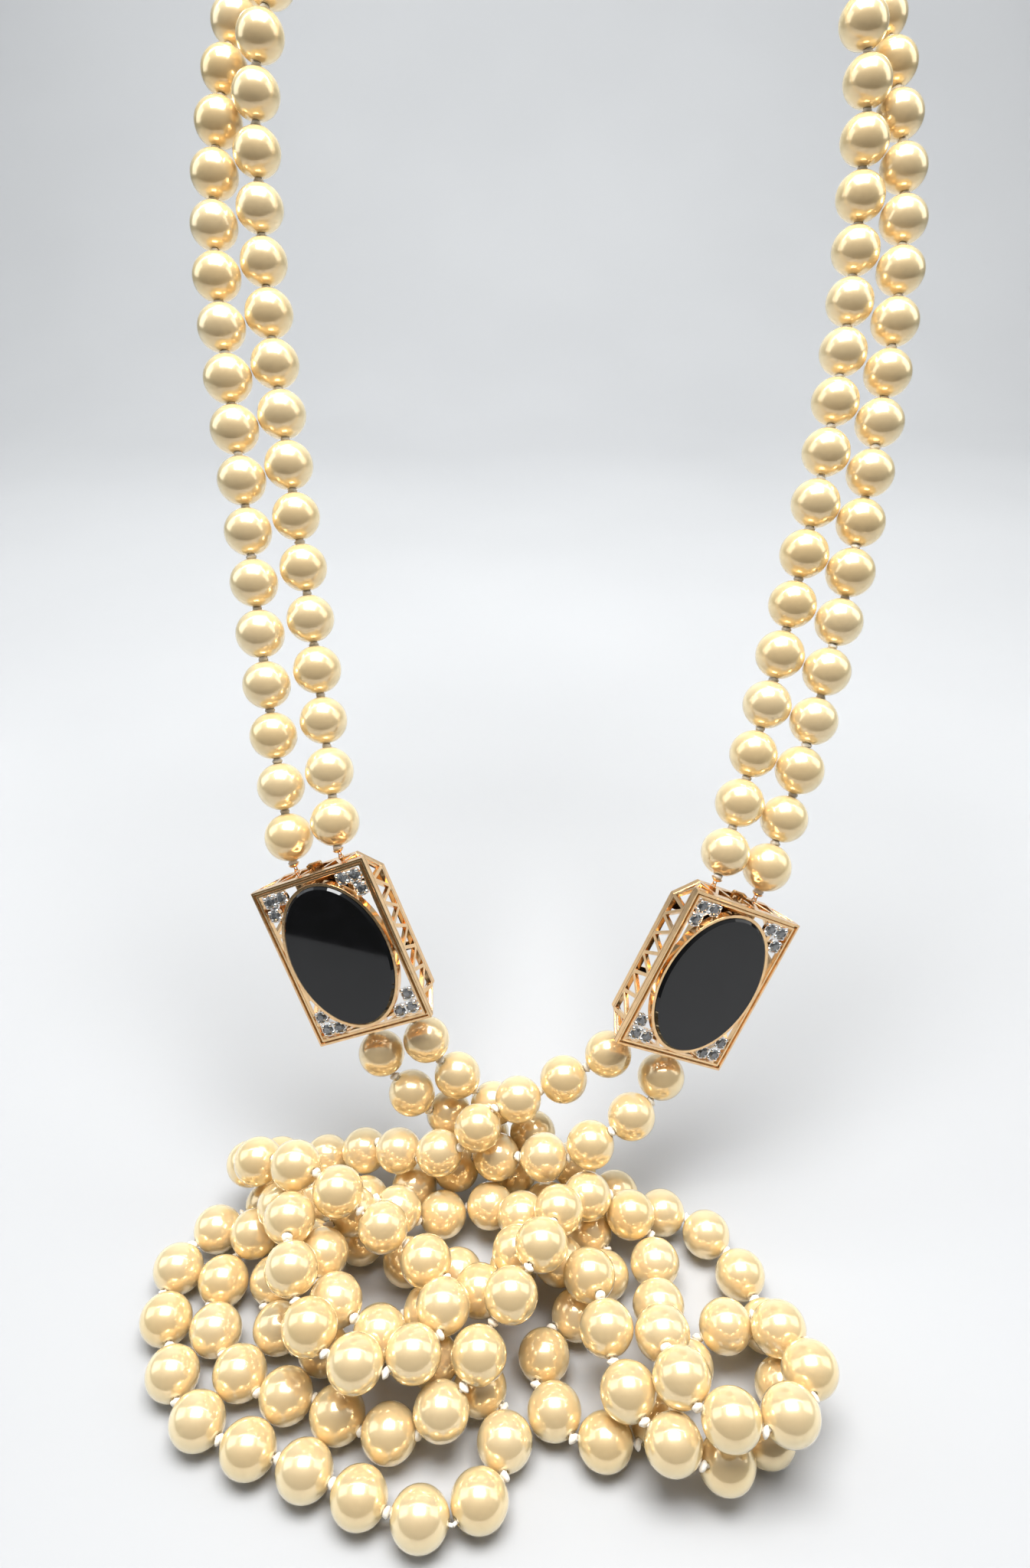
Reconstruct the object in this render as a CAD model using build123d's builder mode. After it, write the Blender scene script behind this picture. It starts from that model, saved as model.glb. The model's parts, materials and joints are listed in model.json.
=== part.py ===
from build123d import *
import os

import numpy as np

# Two-strand pearl necklace with two openwork box clasps, laid out as it is worn:
# the neck strands rise from the clasps round the nape, the long lower strands fall
# to a table (z = 0), cross and lie there in loops. Origin: on the table, under the
# middle of the neck. +X is to the wearer's left, +Y away from the viewer, +Z up.

# ---- driving dimensions, millimetres ----
PEARL_D = 8.0                      # round pearl
KNOT_PITCH = 8.42                  # knot to knot along a strand
HOLE_R = 0.6                       # drilled hole in a pearl
SILK_R = 0.25                      # silk thread
KNOT_R = 0.65
KNOT_T = 0.3
HIDDEN_END = 0.14                  # thread left out at a shared end, part of one pitch
KNOT_SLACK = 0.5                   # how far a tight bend may open the pitch
LEAST_BEND_REACH = 16.12           # least distance over two knots, which limits the bend
STRAND_GAP = 8.5                   # between the two strands of a pair
PEARL_CLEARANCE = 0.04             # least gap left between two pearls

FRAME_W = 20.8                     # clasp across
FRAME_H = 28.2                     # clasp along the strands
CLASP_DEPTH = 6.2
RAIL_T = 0.9                       # thickness of the front and back frames
RAIL_W = 1.05                      # width of their rails
GROOVE = 0.35                      # groove along the front rails: inset, width and depth
CORNER_CUT = 3.4                   # clipped corners of the back frame
WALL_T = 0.7                       # gallery wall
WINDOW_SHARE = 0.76                # size of a window in its triangle of the gallery
ONYX_W = 17.2
ONYX_H = 24.4
ONYX_T = 1.6
ONYX_BEVEL = 0.35
BEZEL_T = 0.5
BEZEL_BASE = 1.0                   # bezel foot below the front plane
BEZEL_RISE = 0.45                  # bezel lip above the front plane
LEDGE_W = 1.0                      # ledge of the bezel under the onyx
LEDGE_T = 0.3
STONE_D = 1.9                      # brilliants in the corners
GIRDLE_T = 0.04
CROWN_H = 0.3
SEAT_RIM = 0.17                    # white metal left round a stone
SEAT_DROP = 0.15                   # seat below the front plane
BEAD_R = 0.2                       # bead prongs
FIT_GAP = 0.05                     # between set or soldered pieces
WALL_LOW = RAIL_T + FIT_GAP        # foot of the gallery
WALL_HIGH = CLASP_DEPTH - RAIL_T - FIT_GAP

BOX_W = 9.0                        # catch box behind the onyx
BOX_H = 20.4
BOX_DEPTH = 2.6
BOX_T = 0.35
BOX_MOUTH = FRAME_H / 2 - RAIL_W - 0.15
TONGUE_W = 6.6
TONGUE_T = 0.35
TONGUE_FOOT = -5.5                 # fold of the V spring
TONGUE_BACK = 0.475                # underside of the tongue
TONGUE_ROOT = 0.2                  # how far the tongue reaches into its loop bar
FOLD_W = 0.7                       # fold of the V spring
THUMB_W = 2.6
THUMB_ANGLE = 2.4                  # how far the thumb leaf springs open, degrees
THUMB_REACH = 0.9                  # tab beyond the frame's edge
THUMB_RIDGE = 0.35                 # grip ridge on the tab
THUMB_GAP = 0.4                    # beside the tab in the gallery's notch
THUMB_NOTCH_H = 1.7
STRAP_W = 1.4                      # straps that carry the catch box
STRAP_INSET = 4.0
BAR_W = 11.6                       # loop bars, in notches of the back frame
NOTCH_FLOOR = 0.35                 # metal left behind the notches
LOOP_R = 0.42                      # loops on the end bars and rings on the strands
LOOP_WIRE_R = 0.1
RING_HOOK = 0.26                   # how far a ring reaches back into its loop
RING_TOP = 2 * LOOP_R - RING_HOOK
RING_PLANE = 0.65                  # height of the loops above the clasp's back
CUP_R = 0.95
CUP_H = 0.5
CUP_T = 0.2
FIRST_KNOT = LOOP_R + RING_TOP + CUP_H + 0.12  # clasp edge to the first knot

# clasp places: centre of the front plane, across, along and front directions
CLASPS = {
    "left": ((-35.4, 1.5, 47.7), (0.903, -0.102, 0.417), (-0.223, -0.942, 0.252)),
    "right": ((23.5, -0.9, 43.8), (0.860, 0.173, -0.480), (0.284, -0.944, 0.169)),
}

# strand courses, millimetres: through these points, from clasp to clasp
NECK_COURSES = {
    "outer": (
        [(-47, 23, 76), (-52, 44, 112), (-56, 69, 153), (-52, 86, 180)],
        [(-35, 106, 199), (0, 117, 207), (35, 106, 199)],
        [(52, 86, 180), (55, 66, 148), (49, 41, 107), (39, 20, 72)],
    ),
    "inner": (
        [(-39, 25, 79), (-45, 47, 116), (-50, 68, 152), (-46, 79, 180)],
        [(-31, 99, 201), (0, 110, 209), (31, 99, 201)],
        [(46, 79, 180), (50, 69, 153), (42, 43, 110), (32, 22, 75)],
    ),
}
LOWER_COURSES = {
    "first": [
        (-16, -3, 24), (-8, -4, 17), (-1, -7, 13), (7, -10, 9), (15, -13, 5), (22, -15, 4), (27, -21, 4),
        (29, -31, 4), (31, -41, 4), (28, -50, 4), (20, -53, 7), (13, -51, 12), (8, -44, 12),
        (5, -34, 11), (1, -27, 8), (-6, -24, 5), (-14, -23, 4), (-22, -22, 4), (-31, -21, 4), (-39, -20, 4),
        (-46, -24, 4), (-47, -32, 4), (-40, -36, 4), (-32, -33, 4), (-24, -32, 4), (-16, -30, 5),
        (-9, -26, 10), (-4, -20, 13), (-8, -14, 12), (-16, -15, 11), (-22, -20, 11), (-29, -20, 11),
        (-37, -22, 11), (-38, -29, 11), (-31, -35, 11), (-23, -38, 11), (-15, -39, 8),
        (-10, -45, 4), (-9, -52, 4), (-14, -58, 4), (-22, -58, 4), (-31, -54, 4), (-46, -48, 4),
        (-54, -43, 4), (-59, -36, 4), (-61, -27, 4), (-57, -18, 4), (-49, -14, 4), (-40, -12, 4), (-32, -11, 4),
        (-24, -13, 6), (-15, -12, 12), (-4, -12, 17), (5, -12, 23),
    ],
    "second": [
        (-23, -6, 22), (-17, -6, 14), (-9, -8, 8), (-2, -11, 5), (6, -14, 4), (8, -21, 4), (3, -28, 4),
        (-1, -36, 4), (-1, -46, 4), (5, -52, 4), (12, -48, 4), (16, -41, 4), (22, -37, 8),
        (28, -38, 11), (31, -45, 11), (30, -52, 11), (23, -55, 12), (17, -50, 12), (15, -40, 10), (13, -30, 8),
        (13, -21, 8), (9, -13, 11), (2, -16, 14), (-3, -25, 13), (-9, -35, 13), (-14, -44, 13),
        (-20, -50, 12), (-28, -49, 8), (-41, -43, 4), (-49, -37, 4), (-54, -28, 4), (-53, -19, 7),
        (-45, -15, 11), (-40, -22, 12), (-40, -32, 11), (-34, -39, 11), (-26, -43, 12), (-18, -40, 14),
        (-17, -32, 14), (-24, -26, 14), (-34, -23, 14), (-44, -18, 13), (-54, -9, 6), (-47, -3, 4), (-38, -4, 6),
        (-27, -8, 11), (-18, -7, 16), (-10, -5, 25),
    ],
}
# bights that can be lifted off the table: strand, first and last point near the course
LIFTED = {
    "left_loop": ("first", (-7, -46, 4), (-63, -26, 4)),
    "right_loop": ("second", (20, -36, 5), (13, -43, 13)),
}
SHOULDER_HEIGHT = 170              # above this the neck strands belong to the nape


# ---- the lie of the strands ----
def clasp_plane(side):
    centre, across, front = CLASPS[side]
    front_plane = Plane(origin=centre, x_dir=across, z_dir=front)
    return front_plane.offset(-CLASP_DEPTH)


def strand_end(side, end, offset):
    """First knot beyond a clasp; end is +1 at the top edge and -1 at the bottom."""
    plane = clasp_plane(side)
    reach = FRAME_H / 2 + FIRST_KNOT
    return plane.from_local_coords(Vector(offset * STRAND_GAP / 2, end * reach, RING_PLANE))


def knots_along(points):
    """Evenly spaced knots on a smooth course."""
    course = Spline(*[Vector(*point) for point in points])
    count = round(course.length / KNOT_PITCH)
    return np.array([tuple(course @ (i / count)) for i in range(count + 1)])


def push_apart(knots, strands):
    """Move the knots so that no two pearls overlap; a pearl sits midway between two knots."""
    first = np.concatenate([np.arange(start, stop - 1) for start, stop in strands])
    centres = (knots[first] + knots[first + 1]) / 2
    i, j = np.triu_indices(len(first), 2)
    apart = centres[i] - centres[j]
    distance = np.linalg.norm(apart, axis=1)
    close = distance < PEARL_D + PEARL_CLEARANCE
    i, j, distance = i[close], j[close], distance[close]
    shift = apart[close] * ((PEARL_D + PEARL_CLEARANCE - distance) / distance / 2)[:, None]
    for pearl, move in ((i, shift), (j, -shift)):
        np.add.at(knots, first[pearl], move * 0.7)
        np.add.at(knots, first[pearl] + 1, move * 0.7)


def hold_apart(knots, strands, reach, least, most):
    """Keep knots that are reach places apart along a strand between two distances."""
    for start, stop in strands:
        for phase in range(2 * reach):
            a = np.arange(start + phase, stop - reach, 2 * reach)
            link = knots[a + reach] - knots[a]
            length = np.linalg.norm(link, axis=1)
            shift = link * ((length - np.clip(length, least, most)) / length / 2)[:, None]
            knots[a] += shift
            knots[a + reach] -= shift


def settle(courses, heavy, rounds=1200, fall=0.06, hold=0.04):
    """Let the strands sink and slide until they lie on each other and on the table."""
    knots = np.concatenate(courses)
    bounds = np.cumsum([0] + [len(course) for course in courses])
    strands = list(zip(bounds[:-1], bounds[1:]))
    guide = knots.copy()
    ends = [end for start, stop in strands for end in (start, stop - 1)]
    weight = np.concatenate([np.full(len(c), float(h)) for c, h in zip(courses, heavy)])
    for step in range(rounds):
        ease = max(0.0, 1.0 - step / (0.75 * rounds))
        knots += (guide - knots) * (hold * ease) * np.array([1, 1, 0.1])
        knots[:, 2] -= fall * ease * weight
        for _ in range(3):
            push_apart(knots, strands)
            hold_apart(knots, strands, 2, LEAST_BEND_REACH, np.inf)
            knots[:, 2] = np.maximum(knots[:, 2], PEARL_D / 2)
            knots[ends] = guide[ends]
            hold_apart(knots, strands, 1, KNOT_PITCH, KNOT_PITCH + KNOT_SLACK)
    return [knots[start:stop] for start, stop in strands]


def lay_out():
    """Knot positions of the four strands."""
    courses = {}
    for name, offset in (("outer", -1), ("inner", 1)):
        left, nape, right = NECK_COURSES[name]
        start = strand_end("left", 1, offset)
        end = strand_end("right", 1, -offset)
        courses[name] = knots_along([start, *left, *nape, *right, end])
    for name, offset in (("first", 1), ("second", -1)):
        start = strand_end("left", -1, offset)
        end = strand_end("right", -1, offset)
        courses[name] = knots_along([start, *LOWER_COURSES[name], end])
    heavy = [name in LOWER_COURSES for name in courses]
    return dict(zip(courses, settle(list(courses.values()), heavy)))


# ---- pearls and silk ----
def drilled_pearl():
    with BuildPart() as pearl:
        Sphere(PEARL_D / 2)
        Hole(HOLE_R)
    return pearl.part


def silk_knot():
    """Flat round knot, its axis along the strand."""
    with BuildPart() as knot:
        Cylinder(KNOT_R, KNOT_T)
        fillet(knot.edges().filter_by(GeomType.CIRCLE), 0.4 * KNOT_T)
    return knot.part


def silk_length(length):
    with BuildPart() as thread:
        with BuildSketch():
            Circle(SILK_R)
        extrude(amount=length)
    return thread.part


def along(start, end):
    """Plane at start that looks towards end."""
    return Plane(origin=tuple(start), z_dir=tuple(end - start))


def pearls_on(knots):
    pearl = drilled_pearl()
    return [along((low + high) / 2, high).location * pearl for low, high in zip(knots[:-1], knots[1:])]


def silk_on(knots, shared_first, shared_last):
    """One knotted thread. At an end shared with another body it stops inside the pearl."""
    ends = knots.copy()
    if shared_first:
        ends[0] += (knots[1] - knots[0]) * HIDDEN_END
    if shared_last:
        ends[-1] += (knots[-2] - knots[-1]) * HIDDEN_END
    pieces = []
    for low, high in zip(ends[:-1], ends[1:]):
        length = float(np.linalg.norm(high - low))
        pieces.append(along(low, high).location * silk_length(length))
    knot = silk_knot()
    for i in range(int(shared_first), len(knots) - int(shared_last)):
        before, after = knots[max(i - 1, 0)], knots[min(i + 1, len(knots) - 1)]
        pieces.append(Plane(origin=tuple(knots[i]), z_dir=tuple(after - before)).location * knot)
    return pieces[0].fuse(*pieces[1:])


# ---- clasp pieces, in the clasp's own frame: x across, y along the strands, z to the front ----
def front_frame():
    """Thin rectangular front frame with a groove along its rails."""
    with BuildPart() as frame:
        with BuildSketch(Plane.XY.offset(CLASP_DEPTH - RAIL_T)):
            Rectangle(FRAME_W, FRAME_H)
            Rectangle(FRAME_W - 2 * RAIL_W, FRAME_H - 2 * RAIL_W, mode=Mode.SUBTRACT)
        extrude(amount=RAIL_T)
        with BuildSketch(Plane.XY.offset(CLASP_DEPTH)):
            Rectangle(FRAME_W - 2 * GROOVE, FRAME_H - 2 * GROOVE)
            Rectangle(FRAME_W - 4 * GROOVE, FRAME_H - 4 * GROOVE, mode=Mode.SUBTRACT)
        extrude(amount=-GROOVE, mode=Mode.SUBTRACT)
    return frame.part


def clipped_outline(inset):
    """Corners of the rectangle with clipped corners."""
    x, y = FRAME_W / 2 - inset, FRAME_H / 2 - inset
    cut = CORNER_CUT - (2 - 2 ** 0.5) * inset
    quarter = [(x, y - cut), (x - cut, y)]
    left = [(-px, py) for px, py in reversed(quarter)]
    return quarter + left + [(-px, -py) for px, py in quarter] + [(-px, -py) for px, py in left]


def back_frame():
    """Back frame with clipped corners and a notch at each end for the loop bars."""
    with BuildPart() as frame:
        with BuildSketch():
            Polygon(*clipped_outline(0), align=None)
            Polygon(*clipped_outline(RAIL_W), align=None, mode=Mode.SUBTRACT)
        extrude(amount=RAIL_T)
        with BuildSketch(Plane.XY.offset(NOTCH_FLOOR)):
            with Locations((0, FRAME_H / 2), (0, -FRAME_H / 2)):
                Rectangle(BAR_W + 2 * FIT_GAP, 3 * RAIL_W)
        extrude(amount=RAIL_T, mode=Mode.SUBTRACT)
    return frame.part


def cut_window(corners):
    """Cut a triangle from the sketch, drawn in towards its middle so that struts are left."""
    centre = np.mean(corners, axis=0)
    inner = [tuple(centre + (np.array(corner) - centre) * WINDOW_SHARE) for corner in corners]
    Polygon(*inner, align=None, mode=Mode.SUBTRACT)


def side_wall(reach, length, cells, turn):
    """Wall along one side, pierced so that a zigzag of struts joins the two frames."""
    out = Vector(1, 0, 0).rotate(Axis.Z, turn)
    run = Vector(0, 1, 0).rotate(Axis.Z, turn)
    back_length = length - 2 * CORNER_CUT
    back = [back_length * (i / cells - 0.5) for i in range(cells + 1)]
    front = [length * (i / (cells + 1) - 0.5) for i in range(cells + 2)]
    with BuildSketch(Plane(origin=out * reach, x_dir=run, z_dir=out)) as wall:
        Polygon((front[0], WALL_HIGH), (front[-1], WALL_HIGH), (back[-1], WALL_LOW), (back[0], WALL_LOW), align=None)
        for i in range(cells):
            cut_window([(back[i], WALL_LOW), (back[i + 1], WALL_LOW), (front[i + 1], WALL_HIGH)])
        for i in range(cells + 1):
            cut_window([(front[i], WALL_HIGH), (back[i], WALL_LOW), (front[i + 1], WALL_HIGH)])
    extrude(wall.sketch, amount=-WALL_T)


def corner_panel(sx, sy):
    """Slanted triangle from a clipped corner of the back frame up to the front frame's corner."""
    x, y = FRAME_W / 2, FRAME_H / 2
    apex = Vector(sx * x, sy * y, WALL_HIGH)
    ends = [Vector(sx * x, sy * (y - CORNER_CUT), WALL_LOW), Vector(sx * (x - CORNER_CUT), sy * y, WALL_LOW)]
    if sx * sy < 0:
        ends.reverse()
    foot = (ends[0] + ends[1]) / 2
    run = (ends[1] - ends[0]).normalized()
    half = (ends[1] - ends[0]).length / 2
    corners = [(-half, 0), (half, 0), (0, (apex - foot).length)]
    with BuildSketch(Plane(origin=foot, x_dir=run, z_dir=run.cross(apex - foot))) as panel:
        Polygon(*corners, align=None)
        cut_window(corners)
    extrude(panel.sketch, amount=-WALL_T)


def gallery():
    """Pierced walls between the front and the back frame, with a notch for the thumb piece."""
    x, y = FRAME_W / 2, FRAME_H / 2
    with BuildPart() as walls:
        for turn in (0, 180):
            side_wall(x, FRAME_H, 6, turn)
            side_wall(y, FRAME_W, 4, turn + 90)
        for sx, sy in ((1, 1), (-1, 1), (-1, -1), (1, -1)):
            corner_panel(sx, sy)
        with Locations((0, 0, WALL_HIGH + WALL_T)):
            Box(FRAME_W, FRAME_H, 2 * WALL_T, mode=Mode.SUBTRACT)
        with Locations((0, y, WALL_LOW)):
            Box(THUMB_W + 2 * THUMB_GAP, 4 * WALL_T, 2 * THUMB_NOTCH_H, mode=Mode.SUBTRACT)
    return walls.part


def loop_bar():
    """Bar in the back frame's notch, with one loop for each strand, at the +Y edge."""
    with BuildPart() as bar:
        with BuildSketch(Plane.XY.offset(NOTCH_FLOOR + FIT_GAP)):
            with Locations((0, (FRAME_H - RAIL_W) / 2)):
                Rectangle(BAR_W, RAIL_W)
        extrude(amount=RAIL_T - NOTCH_FLOOR - FIT_GAP)
        with Locations((STRAND_GAP / 2, FRAME_H / 2, RING_PLANE), (-STRAND_GAP / 2, FRAME_H / 2, RING_PLANE)):
            Torus(LOOP_R, LOOP_WIRE_R)
    return bar.part


def tongue():
    """Sliding half of the clasp: loop bar and the lower leaf of the V spring."""
    root = FRAME_H / 2 - RAIL_W + TONGUE_ROOT
    with BuildPart() as slide:
        add(loop_bar())
        with BuildSketch(Plane.XY.offset(TONGUE_BACK)):
            with Locations((0, (TONGUE_FOOT + root) / 2)):
                Rectangle(TONGUE_W, root - TONGUE_FOOT)
        extrude(amount=TONGUE_T)
        with BuildSketch(Plane.XY.offset(TONGUE_BACK)):
            with Locations((0, TONGUE_FOOT)):
                Rectangle(THUMB_W, FOLD_W)
        extrude(amount=3 * TONGUE_T)
    return slide.part


def thumb_hinge():
    """Fold of the V spring in the clasp's frame."""
    return Vector(0, TONGUE_FOOT + 0.4, TONGUE_BACK + TONGUE_T + 0.13)


def thumb_piece():
    """Upper leaf of the V spring; its tab is pressed down to free the catch."""
    length = FRAME_H / 2 + THUMB_REACH - thumb_hinge().Y
    with BuildPart() as leaf:
        with BuildSketch():
            with Locations((0, length / 2)):
                RectangleRounded(THUMB_W, length, 0.4)
        extrude(amount=TONGUE_T)
        with BuildSketch(Plane.XY.offset(TONGUE_T)):
            with Locations((0, length - THUMB_RIDGE)):
                RectangleRounded(THUMB_W, 1.5 * THUMB_RIDGE, 0.5 * THUMB_RIDGE)
        extrude(amount=THUMB_RIDGE)
    return Location(thumb_hinge()) * Rotation(THUMB_ANGLE, 0, 0) * leaf.part


def catch_box():
    """Box behind the onyx that takes the tongue; its mouth faces the neck strands."""
    middle, height = BOX_MOUTH - BOX_H / 2, FIT_GAP + BOX_DEPTH / 2
    straps = (BOX_MOUTH - STRAP_INSET, BOX_MOUTH - BOX_H + STRAP_INSET)
    with BuildPart() as box:
        with Locations((0, middle, height)):
            Box(BOX_W, BOX_H, BOX_DEPTH)
        with Locations(*[(0, y, FIT_GAP + BOX_T / 2) for y in straps]):
            Box(FRAME_W - 2 * RAIL_W - 2 * FIT_GAP, STRAP_W, BOX_T)
        with Locations((0, middle + BOX_T, height)):
            Box(BOX_W - 2 * BOX_T, BOX_H, BOX_DEPTH - 2 * BOX_T, mode=Mode.SUBTRACT)
    return box.part


def bezel():
    """Oval collar round the onyx with a ledge under it."""
    base = CLASP_DEPTH - BEZEL_BASE
    with BuildPart() as collar:
        with BuildSketch(Plane.XY.offset(base)):
            Ellipse(ONYX_W / 2 + FIT_GAP + BEZEL_T, ONYX_H / 2 + FIT_GAP + BEZEL_T)
            Ellipse(ONYX_W / 2 + FIT_GAP, ONYX_H / 2 + FIT_GAP, mode=Mode.SUBTRACT)
        extrude(amount=BEZEL_BASE + BEZEL_RISE)
        with BuildSketch(Plane.XY.offset(base)):
            Ellipse(ONYX_W / 2 + FIT_GAP + BEZEL_T, ONYX_H / 2 + FIT_GAP + BEZEL_T)
            Ellipse(ONYX_W / 2 - LEDGE_W, ONYX_H / 2 - LEDGE_W, mode=Mode.SUBTRACT)
        extrude(amount=LEDGE_T)
    return collar.part


def onyx_tablet():
    """Flat oval tablet with a bevelled edge, a little proud of the bezel."""
    with BuildPart() as tablet:
        with BuildSketch(Plane.XY.offset(CLASP_DEPTH - BEZEL_BASE + LEDGE_T + FIT_GAP)):
            Ellipse(ONYX_W / 2, ONYX_H / 2)
        extrude(amount=ONYX_T)
        chamfer(tablet.edges().sort_by(Axis.Z)[-1], ONYX_BEVEL)
    return tablet.part


def stone_places():
    """Centres of the brilliants: one in each corner and one along each side of it."""
    corner = [(7.9, 11.7), (5.7, 11.8), (8.05, 9.35)]
    return [[(sx * px, sy * py) for px, py in corner] for sx in (1, -1) for sy in (1, -1)]


def stone_settings():
    """White-metal seats with bead prongs, one piece in each corner of the front frame."""
    seats = []
    for places in stone_places():
        with BuildPart() as seat:
            with BuildSketch(Plane.XY.offset(CLASP_DEPTH - RAIL_T)):
                with Locations(*places):
                    Circle(STONE_D / 2 + SEAT_RIM)
                with BuildLine():
                    Polyline(*places, close=True)
                make_face()
            extrude(amount=RAIL_T - SEAT_DROP)
            for place in places:
                with Locations((*place, CLASP_DEPTH - SEAT_DROP)):
                    with PolarLocations(STONE_D / 2 + FIT_GAP, 4, start_angle=45):
                        Sphere(BEAD_R)
            with Locations(*[(*place, CLASP_DEPTH) for place in places]):
                Cylinder(STONE_D / 2 + GIRDLE_T / 2, 4 * RAIL_T, mode=Mode.SUBTRACT)
        seats.append(seat.part)
    return seats


def brilliant():
    """Round brilliant: pavilion, girdle, crown and table as a turned outline."""
    r = STONE_D / 2
    with BuildPart() as stone:
        with BuildSketch(Plane.XZ):
            outline = [(0, -0.43 * STONE_D), (r, -GIRDLE_T / 2), (r, GIRDLE_T / 2), (0.55 * r, CROWN_H), (0, CROWN_H)]
            Polygon(*outline, align=None)
        revolve(axis=Axis.Z)
    return stone.part


def brilliants():
    stone = brilliant()
    places = [place for corner in stone_places() for place in corner]
    return [Location((*place, CLASP_DEPTH - SEAT_DROP - FIT_GAP)) * stone for place in places]


def strand_cup():
    """Ring and cup that end a strand, along +Z from the loop's wire to the pearl."""
    base = RING_TOP - LOOP_WIRE_R
    rim, foot = base + CUP_H, CUP_R / 2
    with BuildPart() as cup:
        with Locations(Location((0, 0, LOOP_R - RING_HOOK), (0, 90, 0))):
            Torus(LOOP_R, LOOP_WIRE_R)
        with BuildSketch(Plane.XZ):
            with BuildLine():
                Polyline((0, base), (foot, base))
                TangentArc((foot, base), (CUP_R, rim), tangent=(1, 0.4))
                Polyline((CUP_R, rim), (CUP_R - CUP_T, rim), (foot, base + CUP_T), (0, base + CUP_T), (0, base))
            make_face()
        revolve(axis=Axis.Z)
    return cup.part


# ---- assembly ----
GOLD = Color(0.85, 0.62, 0.35)
WHITE_METAL = Color(0.8, 0.8, 0.82)
PEARL = Color(0.95, 0.87, 0.70)
SILK = Color(0.95, 0.93, 0.88)
BLACK = Color(0.02, 0.02, 0.02)
CLEAR = Color(0.8, 0.85, 0.9)


def write(name, pieces, colour):
    """One node: one solid, or a group of equal solids."""
    pieces = [piece.solid() for piece in pieces]
    group = pieces[0] if len(pieces) == 1 else Compound(children=pieces)
    group.label = name
    group.color = colour
    export_step(group, f"parts/{name}.step")


def write_clasp(side):
    place = clasp_plane(side).location
    lower_bar = Rotation(0, 0, 180) * loop_bar()
    pieces = {
        "front_frame": ([front_frame()], GOLD),
        "gallery": ([gallery()], GOLD),
        "back_frame": ([back_frame()], GOLD),
        "bezel": ([bezel()], GOLD),
        "onyx": ([onyx_tablet()], BLACK),
        "stone_settings": (stone_settings(), WHITE_METAL),
        "brilliants": (brilliants(), CLEAR),
        "catch_box": ([catch_box()], GOLD),
        "lower_loop_bar": ([lower_bar], GOLD),
        "tongue": ([tongue()], GOLD),
        "thumb_piece": ([thumb_piece()], GOLD),
    }
    for name, (parts, colour) in pieces.items():
        write(f"{side}_{name}", [place * part for part in parts], colour)


def write_cups(name, side, end):
    """The two strand cups at one end of a clasp, each on its own loop."""
    plane = clasp_plane(side)
    pieces = []
    for offset in (-1, 1):
        pivot = plane.from_local_coords(Vector(offset * STRAND_GAP / 2, end * (FRAME_H / 2 + LOOP_R), RING_PLANE))
        cup_plane = Plane(origin=pivot, x_dir=plane.x_dir, z_dir=plane.y_dir * end)
        pieces.append(cup_plane.location * strand_cup())
    write(name, pieces, GOLD)


def write_strands(name, runs):
    """Pearls and silk of one body; a run is (knots, shared first end, shared last end)."""
    pearls = [pearl for knots, first, last in runs for pearl in pearls_on(knots)]
    silk = [silk_on(knots, first, last) for knots, first, last in runs]
    write(f"{name}_pearls", pearls, PEARL)
    write(f"{name}_silk", silk, SILK)


def nearest(knots, point):
    return int(np.argmin(np.linalg.norm(knots - np.array(point), axis=1)))


def split_neck(strands):
    """Runs of the neck bodies: each side is parted at the shoulder and at the nape."""
    bodies = {"left_neck": [], "left_nape": [], "right_nape": [], "right_neck": []}
    for name in NECK_COURSES:
        knots = strands[name]
        high = np.flatnonzero(knots[:, 2] > SHOULDER_HEIGHT)
        left, right = high[0], high[-1]
        middle = nearest(knots[:, :1], [0])
        bodies["left_neck"].append((knots[: left + 1], False, False))
        bodies["left_nape"].append((knots[left : middle + 1], True, False))
        bodies["right_nape"].append((knots[middle : right + 1], True, True))
        bodies["right_neck"].append((knots[right:], False, False))
    return bodies


def split_lower(strands):
    """Runs of the lower strands and of the bights that lift off them."""
    bodies = {"lower_strands": []}
    for loop, (name, first, last) in LIFTED.items():
        knots = strands[name]
        start, stop = sorted((nearest(knots, first), nearest(knots, last)))
        bodies[loop] = [(knots[start : stop + 1], True, True)]
        bodies["lower_strands"] += [(knots[: start + 1], False, False), (knots[stop:], False, False)]
    return bodies


def main():
    os.makedirs("parts", exist_ok=True)
    strands = lay_out()
    for side in CLASPS:
        write_clasp(side)
        write_cups(f"{side}_neck_cups", side, 1)
        write_cups(f"{side}_lower_cups", side, -1)
    for name, runs in {**split_neck(strands), **split_lower(strands)}.items():
        write_strands(name, runs)


main()
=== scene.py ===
"""Looks of the two-strand pearl necklace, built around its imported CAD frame. Lengths are in metres."""

import json
import math

import bmesh
import bpy
import numpy as np
from mathutils import Matrix, Vector


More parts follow.
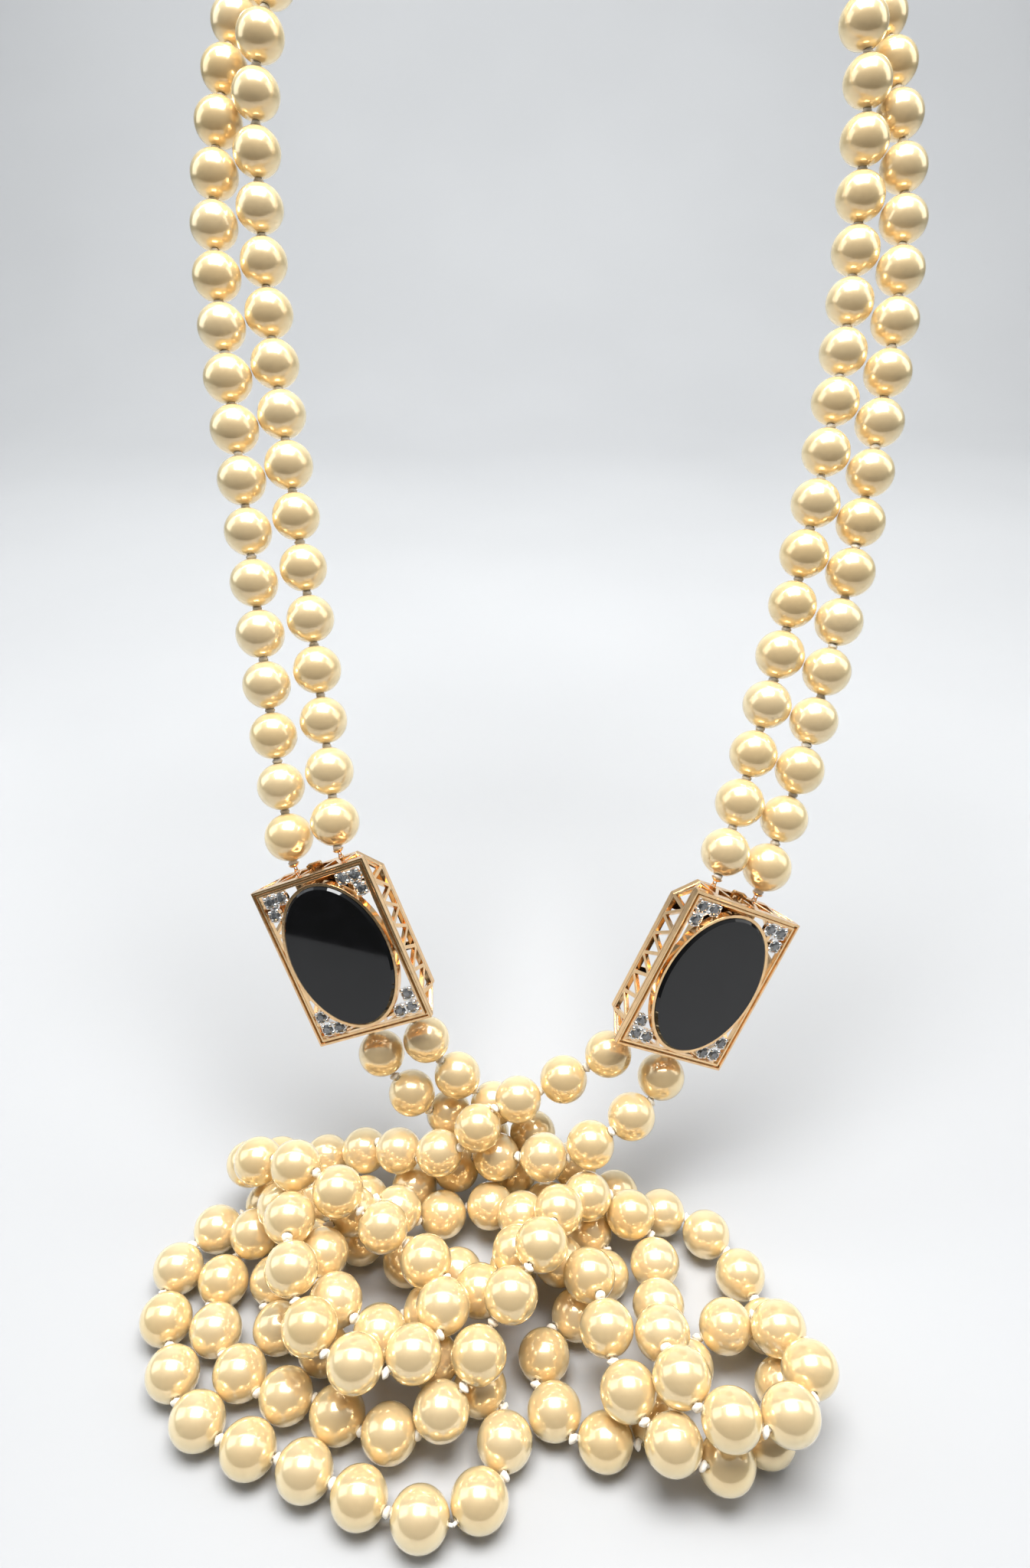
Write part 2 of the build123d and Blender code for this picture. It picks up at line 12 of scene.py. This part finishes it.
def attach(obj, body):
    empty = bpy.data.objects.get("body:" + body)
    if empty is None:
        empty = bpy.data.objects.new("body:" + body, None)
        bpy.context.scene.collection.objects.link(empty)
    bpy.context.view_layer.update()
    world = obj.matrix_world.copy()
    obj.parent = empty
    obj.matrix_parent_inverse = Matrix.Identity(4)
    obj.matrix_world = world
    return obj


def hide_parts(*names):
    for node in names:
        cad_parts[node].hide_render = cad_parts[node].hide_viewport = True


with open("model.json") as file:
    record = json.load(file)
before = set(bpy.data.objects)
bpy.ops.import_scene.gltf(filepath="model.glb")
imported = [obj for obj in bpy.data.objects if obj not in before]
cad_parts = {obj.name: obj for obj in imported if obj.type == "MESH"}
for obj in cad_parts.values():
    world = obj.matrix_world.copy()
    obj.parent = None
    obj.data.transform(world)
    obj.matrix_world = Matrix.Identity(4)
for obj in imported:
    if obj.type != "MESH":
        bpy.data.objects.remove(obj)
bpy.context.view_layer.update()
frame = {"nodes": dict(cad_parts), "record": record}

MM = 0.001
PEARL_R = 4.0 * MM
PEARL_SIDES = 48
PEARL_RINGS = 30
PEARL_HOLE_R = 0.6 * MM
SIZE_SPREAD = 0.03                 # how much smaller the smallest pearls are
SQUEEZE = 0.015                    # how far out of round the worst pearls are
KNOT_R = 0.8 * MM
KNOT_SPAN = 4.21 * MM              # pearl centre to knot
KNOT_SEARCH = 1.2 * MM             # how far from there the silk's knot may lie
THREAD_REACH = 0.45 * MM           # silk farther than this from the middle belongs to a knot
SAME_KNOT = 1.5 * MM               # knots closer together than this are one
KNOT_POINTS = 6                    # fewest mesh points of a knot
STONE_R = 0.93 * MM
STONE_RISE = 0.12 * MM             # girdle above the CAD stone's middle
BEAD_R = 0.36 * MM
BEAD_REACH = 0.98 * MM             # stone centre to the beads that hold it
SEED = 20

PEARL_NODES = [name for name in frame["nodes"] if name.endswith("_pearls")]
SILK_NODES = [name for name in frame["nodes"] if name.endswith("_silk")]
STONE_NODES = [name for name in frame["nodes"] if name.endswith("_brilliants")]
SLOT_OF = {entry["node"]: entry["material_slot"] for entry in frame["record"]["subparts"]}
BODY_OF = {node: body for body, nodes in frame["record"]["behaviour"]["bodies"].items() for node in nodes}


# ---- node-based materials ----
class Material:
    """A Principled material with short calls for its nodes."""

    def __init__(self, name):
        self.material = bpy.data.materials.new(name)
        self.material.use_nodes = True
        self.tree = self.material.node_tree
        self.shader = self.tree.nodes["Principled BSDF"]

    def set(self, **values):
        for name, value in values.items():
            self.shader.inputs[name.replace("_", " ")].default_value = value

    def node(self, kind, **settings):
        made = self.tree.nodes.new(kind)
        for name, value in settings.items():
            setattr(made, name, value)
        return made

    def link(self, source, target):
        self.tree.links.new(source, target)

    def into(self, source, name):
        self.link(source, self.shader.inputs[name])

    def noise(self, scale, detail=2.0):
        place = self.node("ShaderNodeTexCoord").outputs["Object"]
        made = self.node("ShaderNodeTexNoise")
        made.inputs["Scale"].default_value = scale
        made.inputs["Detail"].default_value = detail
        self.link(place, made.inputs["Vector"])
        return made.outputs["Fac"]

    def ramp(self, source, *stops):
        """Colours over a value; each stop is (value, colour)."""
        made = self.node("ShaderNodeValToRGB")
        made.color_ramp.interpolation = "EASE"
        elements = made.color_ramp.elements
        while len(elements) < len(stops):
            elements.new(0.5)
        for element, (place, colour) in zip(elements, stops):
            element.position = place
            element.color = (*colour, 1.0)
        self.link(source, made.inputs["Fac"])
        return made.outputs["Color"]

    def mix(self, factor, first, second):
        made = self.node("ShaderNodeMix", data_type="RGBA")
        sockets = [socket for socket in made.inputs if socket.enabled]
        for source, socket in zip((factor, first, second), sockets):
            self.link(source, socket)
        return [socket for socket in made.outputs if socket.enabled][0]

    def spread(self, source, low, high):
        made = self.node("ShaderNodeMapRange")
        made.inputs["To Min"].default_value = low
        made.inputs["To Max"].default_value = high
        self.link(source, made.inputs["Value"])
        return made.outputs["Result"]

    def bump(self, height, distance, strength, normal=None):
        made = self.node("ShaderNodeBump")
        made.inputs["Strength"].default_value = strength
        made.inputs["Distance"].default_value = distance
        self.link(height, made.inputs["Height"])
        if normal is not None:
            self.link(normal, made.inputs["Normal"])
        self.into(made.outputs["Normal"], "Normal")

    def soft_edges(self, radius):
        made = self.node("ShaderNodeBevel", samples=4)
        made.inputs["Radius"].default_value = radius
        return made.outputs["Normal"]


def nacre():
    """Cream-gold pearl: body colour between a paler and a deeper tint, with painted sheen that makes it
    lighter and yellower towards the edges than where it faces the camera, a lustrous layer and a clear
    skin.
    """
    skin = Material("nacre")
    facing = skin.node("ShaderNodeLayerWeight")
    facing.inputs["Blend"].default_value = 0.4
    # painted sheen: the base colour follows the view angle, darker where the pearl faces the camera and
    # lighter and yellower towards its edges
    painted_sheen_by_view = facing.outputs["Facing"]
    tint = skin.node("ShaderNodeAttribute", attribute_name="tint").outputs["Fac"]
    pale = skin.ramp(painted_sheen_by_view, (0.0, (0.91, 0.69, 0.39)), (0.5, (0.97, 0.80, 0.47)), (1.0, (0.97, 0.81, 0.44)))
    deep = skin.ramp(painted_sheen_by_view, (0.0, (0.89, 0.64, 0.32)), (0.5, (0.96, 0.75, 0.38)), (1.0, (0.96, 0.76, 0.36)))
    skin.into(skin.mix(tint, pale, deep), "Base Color")
    skin.set(Metallic=0.44, Roughness=0.2, IOR=1.6, Coat_Weight=1.0, Coat_Roughness=0.08, Coat_IOR=1.6)
    skin.bump(skin.noise(700.0), 0.02 * MM, 0.2)
    return skin.material


def polished_metal(name, colour, rough):
    """Cast and polished metal: softened edges, faint unevenness and a little wear."""
    metal = Material(name)
    dull = tuple(0.85 * part for part in colour)
    metal.into(metal.ramp(metal.noise(900.0), (0.3, dull), (0.7, colour)), "Base Color")
    metal.into(metal.spread(metal.noise(2500.0, 4.0), 0.6 * rough, 1.5 * rough), "Roughness")
    metal.set(Metallic=1.0)
    metal.bump(metal.noise(1500.0), 0.02 * MM, 0.3, metal.soft_edges(0.12 * MM))
    return metal.material


def black_onyx():
    stone = Material("black_onyx")
    cloud = stone.noise(300.0, 4.0)
    stone.into(stone.ramp(cloud, (0.35, (0.002, 0.002, 0.002)), (0.8, (0.005, 0.005, 0.006))), "Base Color")
    stone.into(stone.spread(stone.noise(800.0), 0.02, 0.05), "Roughness")
    stone.set(IOR=1.54)
    return stone.material


def brilliant_stone():
    stone = Material("brilliant_stone")
    # painted reflections: light and dark grey patches on the stone's colour stand in for the flashes and
    # dark reflections of its facets
    facets_with_painted_reflections = stone.noise(1800.0)
    stone.into(stone.ramp(facets_with_painted_reflections, (0.3, (0.05, 0.055, 0.06)), (0.7, (0.34, 0.35, 0.36))), "Base Color")
    stone.set(IOR=2.3, Roughness=0.0, Transmission_Weight=0.5)
    return stone.material


def silk():
    cord = Material("knotted_silk")
    ply_bump_and_painted_shade = cord.noise(1600.0, 3.0)
    # painted shade: the ply colour follows the ply bump, darker and yellower in its hollows and lighter on
    # the raised plies
    cord.into(cord.ramp(ply_bump_and_painted_shade, (0.3, (0.90, 0.84, 0.72)), (0.7, (0.97, 0.95, 0.90))), "Base Color")
    cord.set(Roughness=0.6, Sheen_Weight=0.4)
    cord.bump(ply_bump_and_painted_shade, 0.08 * MM, 0.6)
    return cord.material


def studio_paper():
    paper = Material("studio_paper")
    shade = paper.ramp(paper.noise(6.0), (0.3, (0.455, 0.46, 0.468)), (0.7, (0.475, 0.48, 0.488)))
    paper.into(shade, "Base Color")
    paper.set(Roughness=0.7)
    return paper.material


# ---- what the CAD meshes hold ----
def vertex_array(mesh):
    flat = np.empty(len(mesh.vertices) * 3)
    mesh.vertices.foreach_get("co", flat)
    return flat.reshape(-1, 3)


def edge_array(mesh):
    flat = np.empty(len(mesh.edges) * 2, dtype=np.int64)
    mesh.edges.foreach_get("vertices", flat)
    return flat.reshape(-1, 2)


def island_labels(mesh):
    """A number for every vertex, the same for all vertices of one connected part.

    Vertices at the same place count as connected, because the CAD's faces do not share theirs.
    """
    corner = np.unique(np.round(vertex_array(mesh), 6), axis=0, return_inverse=True)[1].ravel()
    edges = corner[edge_array(mesh)]
    label = np.arange(corner.max() + 1)
    while True:
        before = label.copy()
        low = np.minimum(label[edges[:, 0]], label[edges[:, 1]])
        np.minimum.at(label, edges[:, 0], low)
        np.minimum.at(label, edges[:, 1], low)
        label = label[label]
        if np.array_equal(before, label):
            return label[corner]


def sphere_centre(points):
    """Centre of the sphere that the points lie on."""
    rows = np.hstack([2 * points, np.ones((len(points), 1))])
    solution = np.linalg.lstsq(rows, (points ** 2).sum(axis=1), rcond=None)[0]
    return solution[:3]


def pearls_of(node_name):
    """Centre and drill direction of every pearl in a CAD node."""
    mesh = frame["nodes"][node_name].data
    points, edges, label = vertex_array(mesh), edge_array(mesh), island_labels(mesh)
    steps = points[edges[:, 0]] - points[edges[:, 1]]
    down_a_hole = np.linalg.norm(steps, axis=1) > 1.5 * PEARL_R
    found = []
    for part in np.unique(label):
        bore = steps[down_a_hole & (label[edges[:, 0]] == part)]
        bore *= np.sign(bore @ bore[0])[:, None]
        found.append((Vector(sphere_centre(points[label == part])), Vector(bore.sum(axis=0)).normalized()))
    return found


def stone_centres(node_name):
    """The middle of every stone's box in a CAD node."""
    mesh = frame["nodes"][node_name].data
    points, label = vertex_array(mesh), island_labels(mesh)
    stones = [points[label == part] for part in np.unique(label)]
    return np.array([(stone.min(axis=0) + stone.max(axis=0)) / 2 for stone in stones])


def clasp_turn(centres):
    """Rotation from the clasp's across, along and front directions to the world."""
    along, across, front = np.linalg.svd(centres - centres.mean(axis=0))[2]
    if front[1] > 0:
        front = -front
    return Matrix((across, np.cross(front, across), front)).transposed().to_4x4()


# ---- shapes, each as (points, faces) ----
def turned(outline, sides):
    """A closed skin turned from an outline that is itself a loop of (radius, height)."""
    points = []
    for radius, height in outline:
        for k in range(sides):
            turn = 2 * math.pi * k / sides
            points.append(Vector((radius * math.cos(turn), radius * math.sin(turn), height)))
    faces = []
    for i in range(len(outline)):
        low, high = i * sides, (i + 1) % len(outline) * sides
        for k in range(sides):
            after = (k + 1) % sides
            faces.append((low + k, low + after, high + after, high + k))
    return points, faces


def drilled_pearl():
    """A round pearl of radius 1 with softened lips at its drill hole."""
    hole = PEARL_HOLE_R / PEARL_R
    first = math.asin(hole)
    angles = np.linspace(math.pi - first, first, PEARL_RINGS)
    skin = [(math.sin(angle), math.cos(angle)) for angle in angles]
    throat, lip = 0.55 * hole, 0.9 * math.cos(first)
    return turned([(throat, -lip), *skin, (throat, lip)], PEARL_SIDES)


def lumpy_knot():
    """An overhand knot of radius 1: a squat lump with the turns of the cord raised on it."""
    rings = 9
    outline = []
    for i in range(rings):
        angle = math.pi * (0.06 + 0.88 * i / (rings - 1))
        outline.append((math.sin(angle), -0.6 * math.cos(angle)))
    points, faces = turned([(0.1, -0.5), *outline, (0.1, 0.5)], 20)
    for point in points:
        turn = math.atan2(point.y, point.x)
        swell = 1.0 + 0.11 * math.cos(2 * turn + 5 * point.z) + 0.03 * math.cos(9 * turn - 8 * point.z)
        point.x *= swell
        point.y *= swell
    return points, faces


def prong_bead():
    """A raised bead of radius 1 on a short neck."""
    rings = 8
    angles = [math.pi / 2 * i / rings for i in range(rings)]
    dome = [(math.cos(angle), 0.9 * math.sin(angle)) for angle in angles]
    return turned([(0.02, -0.8), (0.8, -0.8), (0.85, -0.3), *dome, (0.02, 0.9)], 16)


def faceted_stone():
    """A round brilliant of radius 1: the hull of its facet corners, ring by ring, and its point."""
    rings = (  # radius, height, corners, turn in steps
        (0.56, 0.36, 8, 0.5),      # table
        (0.82, 0.21, 8, 0.0),      # crown
        (1.0, 0.03, 16, 0.0),      # girdle, upper edge
        (1.0, -0.03, 16, 0.0),     # girdle, lower edge
        (0.5, -0.45, 8, 0.5),      # pavilion
    )
    bm = bmesh.new()
    bm.verts.new((0.0, 0.0, -0.86))
    for radius, height, count, offset in rings:
        for k in range(count):
            turn = 2 * math.pi * (k + offset) / count
            bm.verts.new((radius * math.cos(turn), radius * math.sin(turn), height))
    bmesh.ops.convex_hull(bm, input=bm.verts)
    bm.verts.index_update()
    points = [vertex.co.copy() for vertex in bm.verts]
    faces = [tuple(vertex.index for vertex in face.verts) for face in bm.faces]
    bm.free()
    return points, faces


# ---- pieces ----
def add_copies(name, shape, places, node_name, material, smooth=True):
    """One piece, on the body of a CAD node, that holds a copy of the shape at every place."""
    points, faces = shape
    all_points = []
    all_faces = []
    for place in places:
        first = len(all_points)
        all_points += [place @ point for point in points]
        all_faces += [tuple(first + corner for corner in face) for face in faces]
    mesh = bpy.data.meshes.new(name)
    mesh.from_pydata(all_points, [], all_faces)
    mesh.materials.append(material)
    mesh.polygons.foreach_set("use_smooth", [smooth] * len(mesh.polygons))
    piece = bpy.data.objects.new(name, mesh)
    bpy.context.scene.collection.objects.link(piece)
    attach(piece, BODY_OF[node_name])
    return piece


def look_along(direction):
    return direction.to_track_quat("Z", "Y").to_matrix().to_4x4()


def make_pearls(rng, material):
    """The pearls again, each a little off the nominal size, roundness and colour."""
    shape = drilled_pearl()
    for node_name in PEARL_NODES:
        places = []
        shades = []
        for centre, bore in pearls_of(node_name):
            size = PEARL_R * (1.0 - SIZE_SPREAD * rng.random())
            squeeze = 1.0 - SQUEEZE * rng.random()
            scale = Matrix.Diagonal((size, size * squeeze, size, 1.0))
            places.append(Matrix.Translation(centre) @ look_along(bore) @ scale)
            shades.append(min(max(rng.normal(0.35, 0.25), 0.0), 1.0))
        piece = add_copies(node_name + "_nacre", shape, places, node_name, material)
        tint = piece.data.attributes.new("tint", "FLOAT", "POINT")
        tint.data.foreach_set("value", np.repeat(shades, len(shape[0])))
        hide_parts(node_name)


def knot_middle(silk_points, expected):
    """Where the silk really has the knot expected near a place, or None."""
    near = silk_points[np.linalg.norm(silk_points - np.array(expected), axis=1) < KNOT_SEARCH]
    if len(near) == 0:
        return None
    knot = near[np.linalg.norm(near - near.mean(axis=0), axis=1) > THREAD_REACH]
    return Vector(knot.mean(axis=0)) if len(knot) >= KNOT_POINTS else None


def make_knots(rng, material):
    """Lumpy knots over the flat ones of the CAD silk."""
    shape = lumpy_knot()
    for node_name in SILK_NODES:
        silk_points = vertex_array(frame["nodes"][node_name].data)
        middles = []
        places = []
        for centre, bore in pearls_of(node_name.replace("_silk", "_pearls")):
            for end in (centre + bore * KNOT_SPAN, centre - bore * KNOT_SPAN):
                middle = knot_middle(silk_points, end)
                if middle is None or any((middle - other).length <= SAME_KNOT for other in middles):
                    continue
                middles.append(middle)
                spin = Matrix.Rotation(2 * math.pi * rng.random(), 4, "Z")
                turn = look_along(bore) @ spin @ Matrix.Scale(KNOT_R, 4)
                places.append(Matrix.Translation(middle) @ turn)
        piece = add_copies(node_name + "_knots", shape, places, node_name, material)


def make_stones(materials):
    """Faceted brilliants, each with the four beads that hold it."""
    beads_per_stone = 4
    bead_place = Matrix.Translation((BEAD_REACH, 0.0, 0.0)) @ Matrix.Scale(BEAD_R, 4)
    for node_name in STONE_NODES:
        centres = stone_centres(node_name)
        turn = clasp_turn(centres)
        stones = []
        beads = []
        for centre in centres:
            place = Matrix.Translation(Vector(centre)) @ turn @ Matrix.Translation((0.0, 0.0, STONE_RISE))
            stones.append(place @ Matrix.Scale(STONE_R, 4))
            for k in range(beads_per_stone):
                swing = Matrix.Rotation(2 * math.pi * (k + 0.5) / beads_per_stone, 4, "Z")
                beads.append(place @ swing @ bead_place)
        facets_with_painted_reflections = node_name + "_facets"
        piece = add_copies(facets_with_painted_reflections, faceted_stone(), stones, node_name, materials["brilliant"], False)
        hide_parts(node_name)
        piece = add_copies(node_name + "_beads", prong_bead(), beads, node_name, materials["white_metal"])


def dress_cad(materials):
    """Materials for the nodes that are shown as the CAD has them."""
    for name, node in frame["nodes"].items():
        if name in PEARL_NODES or name in STONE_NODES:
            continue
        node.data.materials.clear()
        node.data.materials.append(materials[SLOT_OF[name]])


# ---- studio ----
def make_stage(material):
    """White paper from just in front of the necklace, sweeping up behind it."""
    front, back, top, half_width = -0.19, 0.90, 3.0, 4.0
    bend_r, bend_steps = 0.35, 12
    profile = [(front, 0.0)]
    for i in range(bend_steps + 1):
        angle = math.pi / 2 * i / bend_steps
        profile.append((back - bend_r * (1 - math.sin(angle)), bend_r * (1 - math.cos(angle))))
    profile.append((back, top))
    points = [(x, y, z) for y, z in profile for x in (-half_width, half_width)]
    faces = [(2 * i, 2 * i + 1, 2 * i + 3, 2 * i + 2) for i in range(len(profile) - 1)]
    mesh = bpy.data.meshes.new("backdrop")
    mesh.from_pydata(points, [], faces)
    mesh.materials.append(material)
    mesh.polygons.foreach_set("use_smooth", [True] * len(mesh.polygons))
    backdrop = bpy.data.objects.new("backdrop", mesh)
    bpy.context.scene.collection.objects.link(backdrop)


def area_light(name, place, aim, size, power, colour):
    data = bpy.data.lights.new(name, "AREA")
    data.shape = "RECTANGLE"
    data.size, data.size_y = size
    data.energy = power
    data.color = colour
    light = bpy.data.objects.new(name, data)
    light.location = place
    light.rotation_euler = (Vector(aim) - Vector(place)).to_track_quat("-Z", "Y").to_euler()
    bpy.context.scene.collection.objects.link(light)


def make_lights():
    middle = (0.0, 0.0, 0.05)
    area_light("softbox_top", (0.0, -0.02, 0.6), middle, (0.42, 0.26), 5.3, (1.0, 1.0, 1.0))
    area_light("backdrop_light", (0.0, 0.25, 0.7), (0.0, 0.9, 0.3), (1.2, 0.3), 7.0, (0.97, 0.99, 1.0))
    area_light("softbox_left", (-0.8, 0.1, 0.45), middle, (0.5, 0.6), 1.2, (0.93, 0.97, 1.0))
    area_light("softbox_right", (0.8, 0.1, 0.5), middle, (0.5, 0.6), 1.2, (1.0, 0.98, 0.95))


def make_world():
    """Light tent: bright overhead and behind, dark low down in front, and pale where the camera sees it."""
    world = bpy.data.worlds.new("studio")
    world.use_nodes = True
    nodes, links = world.node_tree.nodes, world.node_tree.links
    place = nodes.new("ShaderNodeTexCoord")
    tilt = nodes.new("ShaderNodeVectorMath")
    tilt.operation = "DOT_PRODUCT"
    tilt.inputs[1].default_value = (0.0, 0.75, 0.6)
    glow = nodes.new("ShaderNodeMapRange")
    glow.inputs["From Min"].default_value = -0.15
    glow.inputs["From Max"].default_value = 0.6
    glow.inputs["To Min"].default_value = 0.1
    glow.inputs["To Max"].default_value = 0.7
    seen = nodes.new("ShaderNodeLightPath").outputs["Is Camera Ray"]
    pick = nodes.new("ShaderNodeMix")
    pick.inputs["B"].default_value = 0.7
    background = nodes["Background"]
    background.inputs["Color"].default_value = (0.93, 0.97, 1.0, 1.0)
    links.new(place.outputs["Generated"], tilt.inputs[0])
    links.new(tilt.outputs["Value"], glow.inputs["Value"])
    links.new(seen, pick.inputs["Factor"])
    links.new(glow.outputs["Result"], pick.inputs["A"])
    links.new(pick.outputs["Result"], background.inputs["Strength"])
    bpy.context.scene.world = world
    bpy.context.scene.view_settings.view_transform = "Standard"


def make_camera():
    """A phone held in front of the necklace, looking down."""
    pitch = math.radians(31.0)
    data = bpy.data.cameras.new("camera")
    data.sensor_width = 36.0
    data.lens = 23.55
    data.clip_start = 0.005
    camera = bpy.data.objects.new("camera", data)
    camera.location = (-7.5 * MM, -125.0 * MM, 155.7 * MM)
    camera.rotation_euler = (math.pi / 2 - pitch, 0.0, 0.0)
    bpy.context.scene.collection.objects.link(camera)
    bpy.context.scene.camera = camera


def main():
    rng = np.random.default_rng(SEED)
    materials = {
        "pearl": nacre(),
        "gold": polished_metal("polished_gold", (0.98, 0.66, 0.35), 0.12),
        "white_metal": polished_metal("white_metal", (0.95, 0.95, 0.94), 0.10),
        "onyx": black_onyx(),
        "brilliant": brilliant_stone(),
        "silk": silk(),
    }
    make_pearls(rng, materials["pearl"])
    make_knots(rng, materials["silk"])
    make_stones(materials)
    dress_cad(materials)
    make_stage(studio_paper())
    make_lights()
    make_world()
    make_camera()


main()
